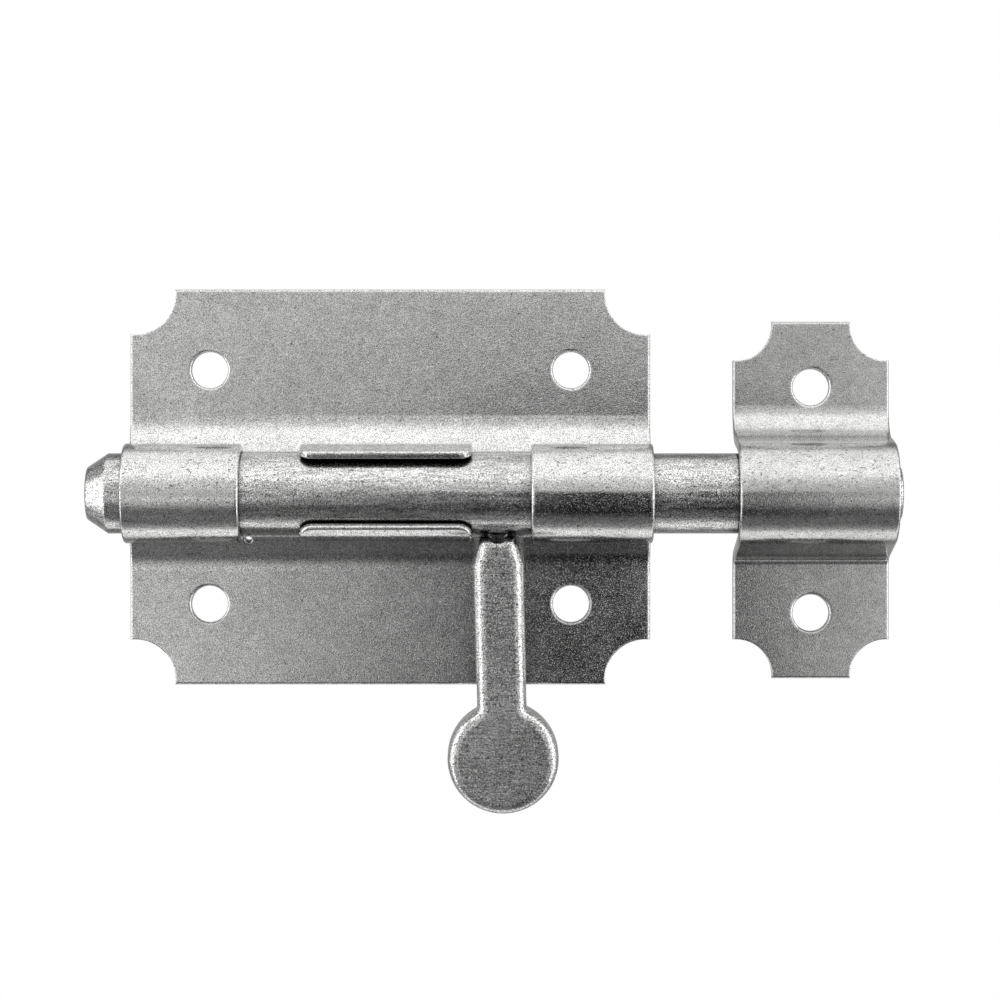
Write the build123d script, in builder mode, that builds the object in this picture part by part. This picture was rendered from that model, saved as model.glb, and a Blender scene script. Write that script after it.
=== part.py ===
# Door bolt for screwing to a door and its frame: a round bolt slides and turns in two guides that are
# rolled out of one pressed plate, and its end enters a keeper bent from a strap of the same sheet.
# Frame: X along the bolt towards the keeper, Z up, the door face is y = 0 and the front is towards -Y.
# The origin is the middle of the plate's four screw holes, on the door face.
import os
from math import asin, atan, cos, hypot, radians, sin

from build123d import *

# Sheet and screws, shared by the plate and the keeper
SHEET = 1.5
SCREW_HOLE = 7.0
SHEET_EDGE_ROUND = 0.5

# Bolt
BOLT_DIAMETER = 15.2
BOLT_LENGTH = 154.0
BOLT_TAIL_X = -57.0
BOLT_CONE_LENGTH = 4.0
BOLT_CONE_DEPTH = 2.7
BOLT_EDGE_ROUND = 0.6

# Plate blank
PLATE_LENGTH = 100.0
PLATE_HEIGHT = 76.0
PLATE_HOLE_PITCH_X = 69.5
PLATE_HOLE_PITCH_Z = 45.0
PLATE_SCALLOP_RADIUS = 7.8
PLATE_SCALLOP_INSET = 0.9

# Section pressed into the plate, a necked hoop on two ramps; it sits a little off the blank's middle
AXIS_Z = -1.25
GUIDE_CLEARANCE = 0.35
GUIDE_WRAP = 33.0
NECK_RADIUS = 1.5
RAMP_SLOPE = 25.0
FOOT_RADIUS = 8.0
FOOT_START = 15.0

# Opening between the two guides: two lugs stand beside the bolt, with a handle notch at each end
WINDOW_CENTRE_X = -0.4
WINDOW_LENGTH = 54.8
LUG_LENGTH = 32.5
UPPER_LUG_ANGLE = 18.0
UPPER_LUG_STRAIGHT = 4.0
LOWER_LUG_ANGLE = 47.0
LUG_CORNER = 2.6
RELIEF_RADIUS = 0.7

# Keeper strap
KEEPER_BOLT_REACH = 1.1
KEEPER_Z = -2.5
KEEPER_WIDTH = 30.0
KEEPER_HEIGHT = 68.6
KEEPER_HOLE_PITCH = 43.4
KEEPER_SCALLOP_RADIUS = 6.9
KEEPER_SCALLOP_INSET = 0.6
KEEPER_CLEARANCE = 0.8
KEEPER_UPPER_SLOPE = 80.0
KEEPER_UPPER_FOOT = 6.2
KEEPER_LOWER_SLOPE = 75.0
KEEPER_LOWER_FOOT = 1.5

# Handle
HANDLE_X = 20.5
HANDLE_SKEW = 1.35
HANDLE_THICKNESS = 7.5
HANDLE_WIDTH = 9.4
HANDLE_NECK_WIDTH = 6.6
HANDLE_SHOULDER_GAP = 0.45
HANDLE_TAPER = 5.4
HANDLE_TAPER_ROUND = 4.0
HANDLE_EDGE_ROUND = 2.0
KNOB_DIAMETER = 21.2
KNOB_REACH = 50.7
KNOB_FILLET = 0.6
KNOB_DOOR_GAP = 0.35
TENON_DIAMETER = 5.4
TENON_SEAT = 0.05
DENT_RADIUS = 3.6
DENT_RISE = 2.2
DENT_STAND_OFF = 1.2

# Slack used when edges and faces are picked by their size
TOLERANCE = 0.001

# Back line of the plate's section: radii on the door side, and where the ramp begins and ends
bolt_radius = BOLT_DIAMETER / 2
guide_bore = bolt_radius + GUIDE_CLEARANCE
wrap = radians(GUIDE_WRAP)
slope = radians(RAMP_SLOPE)
neck_back = NECK_RADIUS + SHEET
foot_back = FOOT_RADIUS + SHEET
neck_turn = 90 + GUIDE_WRAP - RAMP_SLOPE
neck_centre = guide_bore + neck_back
ramp_top = neck_centre * cos(wrap) - neck_back * sin(slope)
ramp_top_drop = neck_centre * sin(wrap) + neck_back * cos(slope)
ramp_foot = FOOT_START - foot_back * sin(slope)
ramp_length = (ramp_foot - ramp_top) / cos(slope)
ramp_top_depth = foot_back * (1 - cos(slope)) + ramp_length * sin(slope)
axis_depth = ramp_top_depth + ramp_top_drop

keeper_x = BOLT_TAIL_X + BOLT_LENGTH - KEEPER_BOLT_REACH - KEEPER_WIDTH / 2
neck_depth = axis_depth - neck_centre * sin(wrap)

bolt_centre = Vector(0, -axis_depth, AXIS_Z)
bolt_axis = Axis(bolt_centre, (1, 0, 0))
section_centre = Vector(-axis_depth, AXIS_Z)


def bent_line(start, heading, steps):
    """Draw one smooth line; a step is a straight length, or a bend given as (radius, turn in degrees)."""
    for step in steps:
        if isinstance(step, tuple):
            radius, turn = step
            piece = JernArc(start, heading, radius, turn)
        else:
            piece = PolarLine(start, step, direction=heading)
        start, heading = piece @ 1, piece % 1


def leg_length(bore, leg_slope, foot):
    """Straight run of a keeper leg, from its hoop down to its foot bend."""
    foot_rise = (foot + SHEET) * (1 - cos(radians(leg_slope)))
    return (axis_depth + bore * cos(radians(leg_slope)) - foot_rise) / sin(radians(leg_slope))


def foot_start(bore, leg_slope, foot):
    """Distance from the bolt axis at which a keeper foot becomes flat."""
    run = leg_length(bore, leg_slope, foot) * cos(radians(leg_slope))
    return (bore + foot + SHEET) * sin(radians(leg_slope)) + run


def strap_holes(length, height, pitches, scallop_radius, scallop_inset):
    """Screw holes and corner scallops of a blank, on the current sketch."""
    with GridLocations(*pitches):
        Circle(SCREW_HOLE / 2)
    with GridLocations(length - 2 * scallop_inset, height - 2 * scallop_inset, 2, 2):
        Circle(scallop_radius)


def at_position(shapes, axis, position):
    """Those of the shapes whose centres lie at a position along an axis."""
    return shapes.filter_by_position(axis, position - TOLERANCE, position + TOLERANCE)


def round_front(sheet_part):
    """Round the front edge of a bent sheet, along its sides and over the hoop at its ends."""
    flats = at_position(sheet_part.faces().filter_by(Axis.Y), Axis.Y, -SHEET)
    folds = flats.edges().filter_by(Axis.X).sort_by(Axis.Z)[1:-1]
    fillet(flats.edges() - folds, SHEET_EDGE_ROUND)


def round_screw_holes(sheet_part):
    """Round the front rims of the screw holes."""
    rims = at_position(sheet_part.edges().filter_by(GeomType.CIRCLE), Axis.Y, -SHEET)
    fillet(rims.filter_by(lambda rim: rim.is_closed), SHEET_EDGE_ROUND)


# Base plate
lug_start = WINDOW_CENTRE_X - LUG_LENGTH / 2
notch_width = (WINDOW_LENGTH - LUG_LENGTH) / 2
notch_starts = [WINDOW_CENTRE_X - WINDOW_LENGTH / 2, lug_start + LUG_LENGTH]
clear_reach = 4 * guide_bore
upper_tip = Vector(-sin(radians(UPPER_LUG_ANGLE)), cos(radians(UPPER_LUG_ANGLE)))
lower_tip = Vector(-sin(radians(LOWER_LUG_ANGLE)), -cos(radians(LOWER_LUG_ANGLE)))

with BuildPart() as base_plate:
    with BuildSketch(Plane.YZ.offset(-PLATE_LENGTH / 2)):
        with BuildLine():
            bent_line(
                Vector(0, PLATE_HEIGHT / 2),
                Vector(0, -1),
                [
                    PLATE_HEIGHT / 2 - AXIS_Z - FOOT_START,
                    (foot_back, -RAMP_SLOPE),
                    ramp_length,
                    (neck_back, -neck_turn),
                    (guide_bore, 180 + 2 * GUIDE_WRAP),
                    (neck_back, -neck_turn),
                    ramp_length,
                    (foot_back, -RAMP_SLOPE),
                    PLATE_HEIGHT / 2 + AXIS_Z - FOOT_START,
                ],
            )
            offset(amount=SHEET, side=Side.RIGHT)
        make_face()
    extrude(amount=PLATE_LENGTH)
    round_front(base_plate)

    with BuildSketch(Plane.XZ):
        pitches = (PLATE_HOLE_PITCH_X, PLATE_HOLE_PITCH_Z, 2, 2)
        strap_holes(PLATE_LENGTH, PLATE_HEIGHT, pitches, PLATE_SCALLOP_RADIUS, PLATE_SCALLOP_INSET)
    extrude(amount=SHEET, both=True, mode=Mode.SUBTRACT)
    round_screw_holes(base_plate)

    with BuildSketch(Plane.YZ.offset(lug_start)):
        with BuildLine():
            Polyline(
                section_centre,
                section_centre + upper_tip * clear_reach,
                section_centre + lower_tip * clear_reach,
                close=True,
            )
        make_face()
    extrude(amount=LUG_LENGTH, mode=Mode.SUBTRACT)

    # The upper lug runs on straight where it leaves the hoop
    with BuildSketch(Plane.YZ.offset(lug_start)):
        with Locations(Location(section_centre + upper_tip * guide_bore, UPPER_LUG_ANGLE)):
            Rectangle(UPPER_LUG_STRAIGHT, SHEET, align=(Align.MAX, Align.MIN))
    extrude(amount=LUG_LENGTH)

    for notch_start in notch_starts:
        with BuildSketch(Plane.YZ.offset(notch_start)):
            with Locations(Vector(-neck_depth, AXIS_Z)):
                Rectangle(clear_reach, clear_reach, align=(Align.MAX, Align.CENTER))
        extrude(amount=notch_width, mode=Mode.SUBTRACT)

    # Round relief in the lower ramp's cut edge, where the tail guide ends
    relief_z = AXIS_Z - ramp_top - RELIEF_RADIUS / 2
    relief_centre = (notch_starts[0] + RELIEF_RADIUS, -ramp_top_depth, relief_z)
    with BuildSketch(Plane(relief_centre, z_dir=(0, -cos(slope), -sin(slope)))):
        Circle(RELIEF_RADIUS)
    extrude(amount=2 * SHEET, both=True, mode=Mode.SUBTRACT)

    for lug_end in (lug_start, lug_start + LUG_LENGTH):
        end_lines = at_position(base_plate.edges().filter_by(GeomType.LINE), Axis.X, lug_end)
        fillet(end_lines.sort_by(Axis.Y)[:2], LUG_CORNER)

    tip_length = LUG_LENGTH - 2 * LUG_CORNER
    lug_tips = base_plate.edges().filter_by(Axis.X).filter_by(
        lambda tip: abs(tip.length - tip_length) < TOLERANCE
    )
    hoop_rims = base_plate.edges().filter_by(GeomType.CIRCLE).filter_by(
        lambda rim: abs(rim.radius - guide_bore - SHEET) < TOLERANCE
    )
    guide_rims = at_position(hoop_rims, Axis.X, notch_starts[0])
    guide_rims += at_position(hoop_rims, Axis.X, notch_starts[1] + notch_width)
    fillet(guide_rims + lug_tips, SHEET_EDGE_ROUND)

base_plate.part.label = "base_plate"

# Keeper
keeper_bore = bolt_radius + KEEPER_CLEARANCE
upper_leg = (keeper_bore, KEEPER_UPPER_SLOPE, KEEPER_UPPER_FOOT)
lower_leg = (keeper_bore, KEEPER_LOWER_SLOPE, KEEPER_LOWER_FOOT)

with BuildPart() as keeper:
    with BuildSketch(Plane.YZ.offset(keeper_x - KEEPER_WIDTH / 2)):
        with BuildLine():
            bent_line(
                Vector(0, KEEPER_Z + KEEPER_HEIGHT / 2),
                Vector(0, -1),
                [
                    KEEPER_Z + KEEPER_HEIGHT / 2 - AXIS_Z - foot_start(*upper_leg),
                    (KEEPER_UPPER_FOOT + SHEET, -KEEPER_UPPER_SLOPE),
                    leg_length(*upper_leg),
                    (keeper_bore, KEEPER_UPPER_SLOPE + KEEPER_LOWER_SLOPE),
                    leg_length(*lower_leg),
                    (KEEPER_LOWER_FOOT + SHEET, -KEEPER_LOWER_SLOPE),
                    KEEPER_HEIGHT / 2 - KEEPER_Z + AXIS_Z - foot_start(*lower_leg),
                ],
            )
            offset(amount=SHEET, side=Side.RIGHT)
        make_face()
    extrude(amount=KEEPER_WIDTH)
    round_front(keeper)

    with BuildSketch(Plane((keeper_x, 0, KEEPER_Z), x_dir=(1, 0, 0), z_dir=(0, -1, 0))):
        pitches = (0, KEEPER_HOLE_PITCH, 1, 2)
        strap_holes(KEEPER_WIDTH, KEEPER_HEIGHT, pitches, KEEPER_SCALLOP_RADIUS, KEEPER_SCALLOP_INSET)
    extrude(amount=SHEET, both=True, mode=Mode.SUBTRACT)
    round_screw_holes(keeper)

keeper.part.label = "keeper"

# Bolt
with BuildPart() as bolt_rod:
    with BuildSketch(Plane(bolt_centre + Vector(BOLT_TAIL_X, 0, 0), x_dir=(1, 0, 0), z_dir=(0, 0, 1))):
        with BuildLine():
            Polyline(
                (0, 0),
                (0, bolt_radius - BOLT_CONE_DEPTH),
                (BOLT_CONE_LENGTH, bolt_radius),
                (BOLT_LENGTH - BOLT_CONE_LENGTH, bolt_radius),
                (BOLT_LENGTH, bolt_radius - BOLT_CONE_DEPTH),
                (BOLT_LENGTH, 0),
                close=True,
            )
        make_face()
    revolve(axis=bolt_axis)
    fillet(bolt_rod.edges().filter_by(GeomType.CIRCLE), BOLT_EDGE_ROUND)

bolt_rod.part.label = "bolt_rod"

# Handle: it leans back until its knob lies just off the door face
shoulder = bolt_radius + HANDLE_SHOULDER_GAP
half_thickness = HANDLE_THICKNESS / 2
knob_end = KNOB_REACH + KNOB_DIAMETER / 2
knob_corner = hypot(knob_end, half_thickness)
lean = asin((axis_depth - KNOB_DOOR_GAP) / knob_corner) - atan(half_thickness / knob_end)
skew = radians(HANDLE_SKEW)
hang = Vector(0, sin(lean), -cos(lean))
handle_front = Plane(
    bolt_centre + Vector(HANDLE_X, 0, 0),
    x_dir=Vector(cos(skew), 0, 0) - hang * sin(skew),
    z_dir=(0, -cos(lean), -sin(lean)),
)

with BuildPart() as handle:
    with BuildSketch(handle_front) as outline:
        with BuildLine():
            Polyline(
                (-HANDLE_NECK_WIDTH / 2, -shoulder),
                (-HANDLE_WIDTH / 2, -shoulder - HANDLE_TAPER),
                (-HANDLE_WIDTH / 2, -KNOB_REACH),
                (HANDLE_WIDTH / 2, -KNOB_REACH),
                (HANDLE_WIDTH / 2, -shoulder - HANDLE_TAPER),
                (HANDLE_NECK_WIDTH / 2, -shoulder),
                close=True,
            )
        make_face()
        with Locations((0, -KNOB_REACH)):
            Circle(KNOB_DIAMETER / 2)
        corners = outline.vertices().group_by(Axis.Y)
        fillet(corners[-2], HANDLE_TAPER_ROUND)
        fillet(outline.vertices().group_by(Axis.Y)[0], KNOB_FILLET)
    extrude(amount=half_thickness, both=True)
    fillet(handle.faces().filter_by(handle_front).edges(), HANDLE_EDGE_ROUND)

    # Round tenon from the shoulder up to its seat on the bolt
    with BuildSketch(Plane(handle_front.location * Location((0, -shoulder, 0), (90, 0, 0)))):
        Circle(TENON_DIAMETER / 2)
    extrude(amount=shoulder, both=True)
    with Locations(Location(handle_front.origin, (0, 90, 0))):
        Cylinder(bolt_radius + TENON_SEAT, 2 * HANDLE_WIDTH, mode=Mode.SUBTRACT)

    # Staking dent at the top of the front face
    dent_centre = handle_front.from_local_coords((0, DENT_RISE - shoulder, half_thickness + DENT_STAND_OFF))
    with Locations(dent_centre):
        Sphere(DENT_RADIUS, mode=Mode.SUBTRACT)

handle.part.label = "handle"

os.makedirs("parts", exist_ok=True)
export_step(base_plate.part, "parts/base_plate.step")
export_step(keeper.part, "parts/keeper.step")
export_step(bolt_rod.part, "parts/bolt_rod.step")
export_step(handle.part, "parts/handle.step")
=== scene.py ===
"""Looks of the door bolt: plated sheet, drawn bar and tumbled handle in a white studio. Metres, Z up."""
from math import cos, pi, radians, sin
from typing import NamedTuple

import bpy
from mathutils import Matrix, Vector

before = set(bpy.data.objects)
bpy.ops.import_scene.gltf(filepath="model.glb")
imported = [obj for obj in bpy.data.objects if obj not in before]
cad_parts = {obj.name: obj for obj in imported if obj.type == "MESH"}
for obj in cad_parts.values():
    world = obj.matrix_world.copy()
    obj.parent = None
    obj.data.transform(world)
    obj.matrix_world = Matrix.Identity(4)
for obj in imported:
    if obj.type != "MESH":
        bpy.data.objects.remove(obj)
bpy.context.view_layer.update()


class Field(NamedTuple):
    """Noise in the metal: cells per metre along X, Y and Z, octaves of detail, and a shift of the seed."""

    cells: tuple
    detail: float
    seed: float


# Camera: straight at the door, with the photo's perspective
CAMERA_DISTANCE = 0.600
CAMERA_LENS_MM = 112.0
CAMERA_AIM = Vector((0.0211, 0.0, -0.0025))

# Finish: the noise of each layer
NOISE_ROUGHNESS = 0.6
SPECKLE = Field(cells=(6800, 6800, 6800), detail=0.0, seed=0.0)
DIMPLES = Field(cells=(4000, 4000, 4000), detail=0.0, seed=3.0)
MATTE = Field(cells=(5200, 5200, 5200), detail=1.0, seed=5.0)
SHEET_STREAKS = Field(cells=(900, 900, 2600), detail=3.0, seed=7.0)
BAR_STREAKS = Field(cells=(220, 1700, 1700), detail=3.0, seed=7.0)
HANDLE_STREAKS = Field(cells=(300, 3000, 3000), detail=3.0, seed=7.0)
MOTTLE = Field(cells=(520, 520, 520), detail=3.0, seed=11.0)
CLOUDS = Field(cells=(70, 70, 70), detail=3.0, seed=13.0)
PITS = Field(cells=(1400, 2400, 2400), detail=2.0, seed=17.0)
SCRATCHES = Field(cells=(45, 2600, 2600), detail=0.0, seed=0.0)
SCRATCH_TURNS = (12.0, -38.0, 76.0)

# Finish: the band of a layer's noise over which it shows, and how strong it is
SPECKLE_BAND = (0.4, 0.6)
SHADING_BAND = (0.25, 0.75)
MOTTLING = 0.12
CLOUDING = 0.1
PIT_BAND = (0.66, 0.73)
PIT_SHADE = 0.3
SCRATCH_BAND = (0.78, 0.84)
SHEET_SCRATCHING = 0.15
BAR_SCRATCHING = 0.08
SHEET_STREAKING = 0.1
GLOSS_BAND = (0.7, 1.3)
SHEET_ROUGHNESS = (0.09, 0.17)
MATTE_BAND = (0.56, 0.65)
MATTE_GRAIN = 0.24
ZINC_TINT = (1.0, 1.0, 0.99)

# Finish: faces that stand this far from the door, in metres along Y, are worn and have more pits
WORN_DEPTH = (-0.007, -0.012)
WEAR = 0.05

# Finish: painted shade in crevices, darker where other faces stand close, and soft edges
PAINTED_SHADE_REACH = 0.006
PAINTED_SHADE_BAND = (0.2, 0.78)
PAINTED_SHADE_LEVEL = 0.15
EDGE_SOFTENING = 0.00045
NEARBY_SAMPLES = 8

# Studio: a floor far below, and a ring of paper around the bolt's axis with a sheet of paper in each end
FLOOR_DROP = 1.0
FLOOR_REACH = 5.0
FLOOR_COLOUR = (0.9, 0.9, 0.9)
FLOOR_ROUGHNESS = 0.9
FILL_LEVEL = 0.95
RING_RADIUS = 0.9
RING_HALF_LENGTH = 1.0
RING_PANELS = 72
RING_PEAK = 1.6
END_FRONT_LEVEL = 2.4
END_BACK_LEVEL = 0.45
END_FADE = (-0.2, 0.1)
SQUARE_CORNERS = ((-1, -1), (1, -1), (1, 1), (-1, 1))
SQUARE_FACE = (0, 1, 2, 3)
# Brightness of the paper by its direction from the bolt in degrees: 0 is the camera's side, 90 is above
RING_LEVELS = {
    -180: 0.45,
    -150: 0.4,
    -130: 0.2,
    -114: 1.1,
    -96: 1.3,
    -84: 0.4,
    -70: 0.18,
    -54: 0.22,
    -46: 0.17,
    -36: 0.24,
    -24: 0.64,
    -12: 0.92,
    -4: 0.75,
    4: 0.74,
    14: 0.77,
    28: 1.0,
    44: 1.55,
    62: 1.5,
    102: 1.3,
    114: 0.7,
    128: 0.26,
    140: 0.28,
    156: 0.45,
    180: 0.45,
}
# The dark camera and its stand, as the ring shows them: where they fade in and out along X and by direction
CAMERA_SHADE = 0.99
CAMERA_SHADE_LEFT = (-0.15, 0.06)
CAMERA_SHADE_RIGHT = (0.225, 0.105)
CAMERA_SHADE_TOP = (radians(6.5), radians(0.0))
CAMERA_SHADE_FOOT = (radians(-70), radians(-40))
# A large soft lamp above the camera, which reflections don't see
LAMP_PLACE = Vector((0.02, -0.3, 0.5))
LAMP_AIM = Vector((0.02, 0.0, 0.0))
LAMP_SIZE = (0.9, 0.4)
LAMP_POWER = 1.3


def add_node(tree, kind, **inputs):
    """Add a shader node and set its named inputs."""
    node = tree.nodes.new(kind)
    for name, value in inputs.items():
        node.inputs[name.replace("_", " ")].default_value = value
    return node


def piece_place(tree):
    """The shaded point in the piece's own frame."""
    return add_node(tree, "ShaderNodeTexCoord").outputs["Object"]


def studio_place(tree):
    """The shaded point in the studio."""
    return add_node(tree, "ShaderNodeNewGeometry").outputs["Position"]


def axes_of(tree, place):
    """X, Y and Z of a point."""
    axes = add_node(tree, "ShaderNodeSeparateXYZ")
    tree.links.new(place, axes.inputs["Vector"])
    return axes.outputs


def noise(tree, field, seed, turn=0.0):
    """Noise fixed to the piece, turned about Y by degrees."""
    turned = add_node(tree, "ShaderNodeVectorRotate", Angle=radians(turn))
    turned.rotation_type = "Y_AXIS"
    shift = seed + field.seed
    mapping = add_node(tree, "ShaderNodeMapping", Scale=field.cells, Location=(shift, shift, shift))
    texture = add_node(
        tree,
        "ShaderNodeTexNoise",
        Scale=1.0,
        Detail=field.detail,
        Roughness=NOISE_ROUGHNESS,
    )
    tree.links.new(piece_place(tree), turned.inputs["Vector"])
    tree.links.new(turned.outputs["Vector"], mapping.inputs["Vector"])
    tree.links.new(mapping.outputs["Vector"], texture.inputs["Vector"])
    return texture.outputs["Fac"]


def remap(tree, value, band, levels, smooth=False):
    """Map a band of a value onto two levels, held at its ends."""
    low, high = band
    to_low, to_high = levels
    node = add_node(tree, "ShaderNodeMapRange", From_Min=low, From_Max=high, To_Min=to_low, To_Max=to_high)
    if smooth:
        node.interpolation_type = "SMOOTHSTEP"
    tree.links.new(value, node.inputs["Value"])
    return node.outputs["Result"]


def combine(tree, operation, first, second):
    """One math step on two values, each a socket or a number."""
    node = add_node(tree, "ShaderNodeMath")
    node.operation = operation
    for socket, value in zip(node.inputs, (first, second)):
        if isinstance(value, (int, float)):
            socket.default_value = value
        else:
            tree.links.new(value, socket)
    return node.outputs["Value"]


def grey(tree, value, tint):
    """A near-grey colour whose brightness is a value."""
    node = add_node(tree, "ShaderNodeMix")
    node.data_type = "RGBA"
    node.blend_type = "MULTIPLY"
    node.inputs["Factor"].default_value = 1.0
    node.inputs["A"].default_value = (*tint, 1.0)
    tree.links.new(value, node.inputs["B"])
    return node.outputs["Result"]


def pit_shade(tree, seed):
    """Dark pits, more of them on the worn faces."""
    wear = remap(tree, axes_of(tree, piece_place(tree))["Y"], WORN_DEPTH, (0.0, WEAR))
    pits = combine(tree, "ADD", noise(tree, PITS, seed), wear)
    return remap(tree, pits, PIT_BAND, (1.0, PIT_SHADE))


def scratched(tree, shade, seed, scratching):
    """Add thin bright lines in a few directions to a shade."""
    for turn in SCRATCH_TURNS:
        lines = noise(tree, SCRATCHES, seed + turn, turn)
        shade = combine(tree, "ADD", shade, remap(tree, lines, SCRATCH_BAND, (0.0, scratching)))
    return shade


def painted_crevice_shade(tree):
    """Painted shade in the colour, darker where other faces stand close by."""
    openness = add_node(tree, "ShaderNodeAmbientOcclusion", Distance=PAINTED_SHADE_REACH)
    openness.samples = NEARBY_SAMPLES
    return remap(tree, openness.outputs["AO"], PAINTED_SHADE_BAND, (PAINTED_SHADE_LEVEL, 1.0))


def relief_normal(tree, height, relief):
    """The direction of the surface, with soft edges and a fine relief in metres."""
    softened = add_node(tree, "ShaderNodeBevel", Radius=EDGE_SOFTENING)
    softened.samples = NEARBY_SAMPLES
    bump = add_node(tree, "ShaderNodeBump", Strength=1.0, Distance=relief)
    tree.links.new(height, bump.inputs["Height"])
    tree.links.new(softened.outputs["Normal"], bump.inputs["Normal"])
    return bump.outputs["Normal"]


def metal(name, seed, level, grain, streaks, streaking, scratching, roughness, relief):
    """Plated metal of a brightness level: its layers of tone and painted crevice shade, then its gloss, then
    its relief.
    """
    material = bpy.data.materials.new(name)
    material.use_nodes = True
    tree = material.node_tree
    shader = tree.nodes["Principled BSDF"]
    shader.inputs["Metallic"].default_value = 1.0
    streak_noise = noise(tree, streaks, seed)
    mottle_noise = noise(tree, MOTTLE, seed)
    cloud_noise = noise(tree, CLOUDS, seed)

    shade = remap(tree, noise(tree, SPECKLE, seed), SPECKLE_BAND, (level * (1 - grain), level * (1 + grain)))
    for layer, depth in ((streak_noise, streaking), (mottle_noise, MOTTLING), (cloud_noise, CLOUDING)):
        shade = combine(tree, "MULTIPLY", shade, remap(tree, layer, SHADING_BAND, (1 - depth, 1 + depth)))
    shade = combine(tree, "MULTIPLY", shade, pit_shade(tree, seed))
    shade = scratched(tree, shade, seed, scratching)
    # Painted shade: the colour is darkened in crevices and narrow gaps, where shade falls
    shade = combine(tree, "MULTIPLY", shade, painted_crevice_shade(tree))
    tree.links.new(grey(tree, shade, ZINC_TINT), shader.inputs["Base Color"])

    gloss = remap(tree, combine(tree, "ADD", streak_noise, cloud_noise), GLOSS_BAND, roughness)
    matte = remap(tree, noise(tree, MATTE, seed), MATTE_BAND, (0.0, MATTE_GRAIN))
    tree.links.new(combine(tree, "ADD", gloss, matte), shader.inputs["Roughness"])

    height = combine(tree, "ADD", noise(tree, DIMPLES, seed), streak_noise)
    tree.links.new(relief_normal(tree, height, relief), shader.inputs["Normal"])
    return material


def stage_piece(name, corners, faces, reflected_only=False):
    """Add a stage piece, which may be seen by reflections alone, and give its material's nodes."""
    mesh = bpy.data.meshes.new(name)
    mesh.from_pydata(corners, [], faces)
    piece = bpy.data.objects.new(name, mesh)
    bpy.context.scene.collection.objects.link(piece)
    material = bpy.data.materials.new(name)
    material.use_nodes = True
    mesh.materials.append(material)
    if reflected_only:
        piece.visible_camera = False
        piece.visible_diffuse = False
        piece.visible_shadow = False
    return material.node_tree


def glowing(tree, strength, colour=None):
    """Make a stage piece glow, in white where no colour is given."""
    glow = add_node(tree, "ShaderNodeEmission")
    if colour:
        tree.links.new(colour, glow.inputs["Color"])
    tree.links.new(strength, glow.inputs["Strength"])
    tree.links.new(glow.outputs["Emission"], tree.nodes["Material Output"].inputs["Surface"])


def ring_colour(tree, angle):
    """The paper's brightness by its direction from the bolt, as a share of its peak."""
    ramp = add_node(tree, "ShaderNodeValToRGB")
    stops = ramp.color_ramp.elements
    while len(stops) < len(RING_LEVELS):
        stops.new(1.0)
    for stop, (degrees, level) in zip(stops, RING_LEVELS.items()):
        share = level / RING_PEAK
        stop.position = (degrees + 180) / 360
        stop.color = (share, share, share, 1.0)
    tree.links.new(remap(tree, angle, (-pi, pi), (0.0, 1.0)), ramp.inputs["Fac"])
    return ramp.outputs["Color"]


def paper_ring():
    """The lit paper around the bolt's axis, with the dark camera's shade on it."""
    corners = []
    faces = []
    for index in range(RING_PANELS):
        angle = 2 * pi * index / RING_PANELS
        for side in (-RING_HALF_LENGTH, RING_HALF_LENGTH):
            corners.append((side, -RING_RADIUS * cos(angle), RING_RADIUS * sin(angle)))
        first = 2 * index
        after = 2 * ((index + 1) % RING_PANELS)
        faces.append((first, first + 1, after + 1, after))
    tree = stage_piece("paper_ring", corners, faces, reflected_only=True)

    axes = axes_of(tree, studio_place(tree))
    towards_camera = combine(tree, "MULTIPLY", axes["Y"], -1.0)
    direction = combine(tree, "ARCTAN2", axes["Z"], towards_camera)
    shade = CAMERA_SHADE
    for fade in (CAMERA_SHADE_LEFT, CAMERA_SHADE_RIGHT):
        shade = combine(tree, "MULTIPLY", remap(tree, axes["X"], fade, (0.0, 1.0), smooth=True), shade)
    for fade in (CAMERA_SHADE_TOP, CAMERA_SHADE_FOOT):
        shade = combine(tree, "MULTIPLY", remap(tree, direction, fade, (0.0, 1.0), smooth=True), shade)
    lit = combine(tree, "SUBTRACT", 1.0, shade)
    glowing(tree, combine(tree, "MULTIPLY", lit, RING_PEAK), ring_colour(tree, direction))


def end_paper(name, side):
    """A sheet of paper in one end of the ring, bright towards the camera's side."""
    corners = []
    for y, z in SQUARE_CORNERS:
        corners.append((side, y * RING_RADIUS, z * RING_RADIUS))
    tree = stage_piece(name, corners, [SQUARE_FACE], reflected_only=True)
    depth = axes_of(tree, studio_place(tree))["Y"]
    glowing(tree, remap(tree, depth, END_FADE, (END_FRONT_LEVEL, END_BACK_LEVEL), smooth=True))


def floor():
    """The pale floor, outside the ring."""
    corners = []
    for x, y in SQUARE_CORNERS:
        corners.append((x * FLOOR_REACH, y * FLOOR_REACH, -FLOOR_DROP))
    shader = stage_piece("floor", corners, [SQUARE_FACE]).nodes["Principled BSDF"]
    shader.inputs["Base Color"].default_value = (*FLOOR_COLOUR, 1.0)
    shader.inputs["Roughness"].default_value = FLOOR_ROUGHNESS


def surround():
    """The white around the stage, a little darker as a light than it looks."""
    world = bpy.data.worlds.new("surround")
    bpy.context.scene.world = world
    world.use_nodes = True
    tree = world.node_tree
    rays = add_node(tree, "ShaderNodeLightPath").outputs
    seen = combine(tree, "ADD", rays["Is Camera Ray"], rays["Is Glossy Ray"])
    seen = combine(tree, "ADD", seen, rays["Is Transmission Ray"])
    background = tree.nodes["Background"]
    background.inputs["Color"].default_value = (1.0, 1.0, 1.0, 1.0)
    tree.links.new(remap(tree, seen, (0.0, 1.0), (FILL_LEVEL, 1.0)), background.inputs["Strength"])


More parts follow.
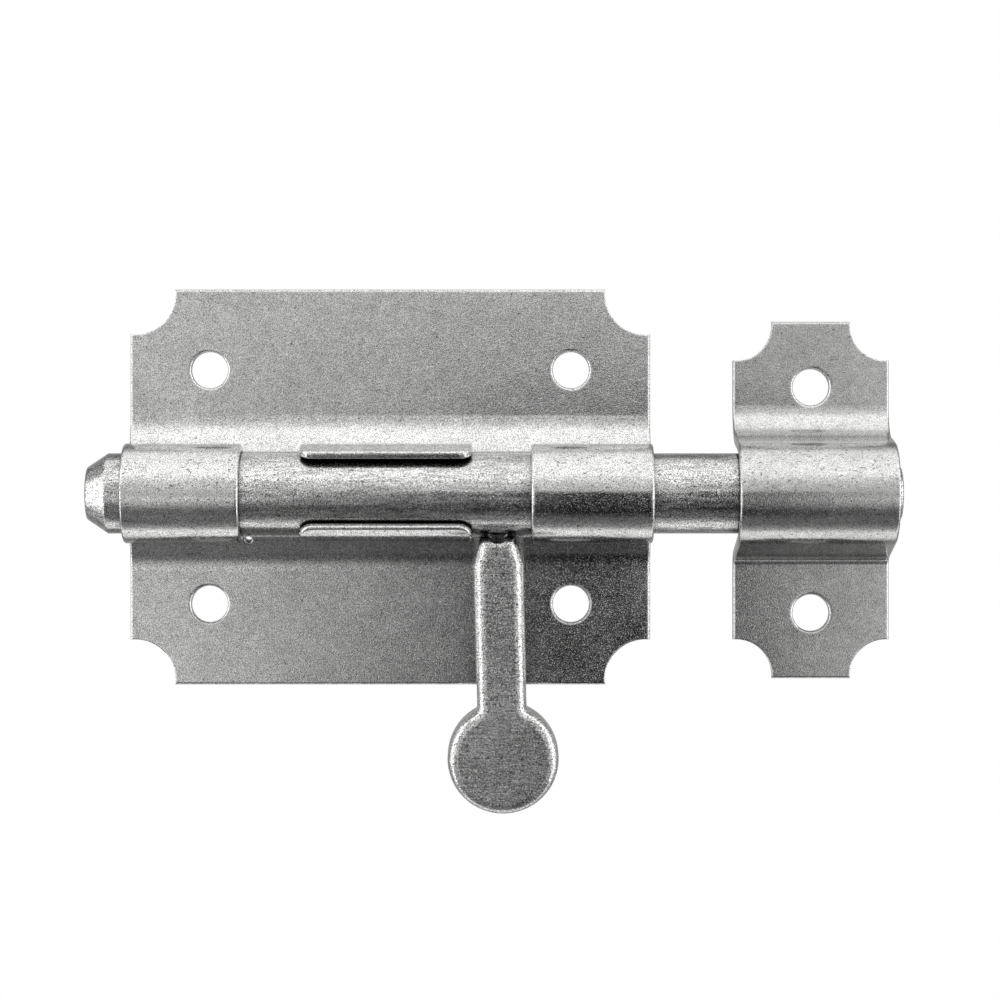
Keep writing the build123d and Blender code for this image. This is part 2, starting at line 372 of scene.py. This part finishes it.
def soft_box():
    """The soft lamp, turned towards the bolt."""
    lamp = bpy.data.lights.new("top_soft_box", "AREA")
    lamp.shape = "RECTANGLE"
    lamp.size, lamp.size_y = LAMP_SIZE
    lamp.energy = LAMP_POWER
    box = bpy.data.objects.new("top_soft_box", lamp)
    box.location = LAMP_PLACE
    box.rotation_euler = (LAMP_AIM - LAMP_PLACE).to_track_quat("-Z", "Y").to_euler()
    box.visible_camera = False
    box.visible_glossy = False
    bpy.context.scene.collection.objects.link(box)


def front_camera():
    """The camera, straight in front of the door."""
    camera = bpy.data.objects.new("camera", bpy.data.cameras.new("camera"))
    camera.data.lens = CAMERA_LENS_MM
    camera.location = CAMERA_AIM - Vector((0.0, CAMERA_DISTANCE, 0.0))
    camera.rotation_euler = (radians(90), 0.0, 0.0)
    bpy.context.scene.collection.objects.link(camera)
    bpy.context.scene.camera = camera


# Finish of each piece
finishes = {
    "base_plate": metal(
        "plate_sheet",
        seed=1.0,
        level=0.58,
        grain=0.46,
        streaks=SHEET_STREAKS,
        streaking=SHEET_STREAKING,
        scratching=SHEET_SCRATCHING,
        roughness=SHEET_ROUGHNESS,
        relief=0.8e-5,
    ),
    "keeper": metal(
        "keeper_sheet",
        seed=31.0,
        level=0.54,
        grain=0.32,
        streaks=SHEET_STREAKS,
        streaking=SHEET_STREAKING,
        scratching=SHEET_SCRATCHING,
        roughness=SHEET_ROUGHNESS,
        relief=0.7e-5,
    ),
    "bolt_rod": metal(
        "bolt_bar",
        seed=57.0,
        level=0.52,
        grain=0.65,
        streaks=BAR_STREAKS,
        streaking=0.4,
        scratching=BAR_SCRATCHING,
        roughness=(0.12, 0.24),
        relief=1.4e-5,
    ),
    "handle": metal(
        "handle_metal",
        seed=83.0,
        level=0.54,
        grain=0.8,
        streaks=HANDLE_STREAKS,
        streaking=0.3,
        scratching=BAR_SCRATCHING,
        roughness=(0.18, 0.3),
        relief=1.8e-5,
    ),
}
for node_name, finish in finishes.items():
    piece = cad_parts[node_name]
    piece.data.materials.clear()
    piece.data.materials.append(finish)

# Studio
floor()
surround()
paper_ring()
end_paper("left_end_paper", -RING_HALF_LENGTH)
end_paper("right_end_paper", RING_HALF_LENGTH)
soft_box()
front_camera()
bpy.context.scene.view_settings.view_transform = "Standard"
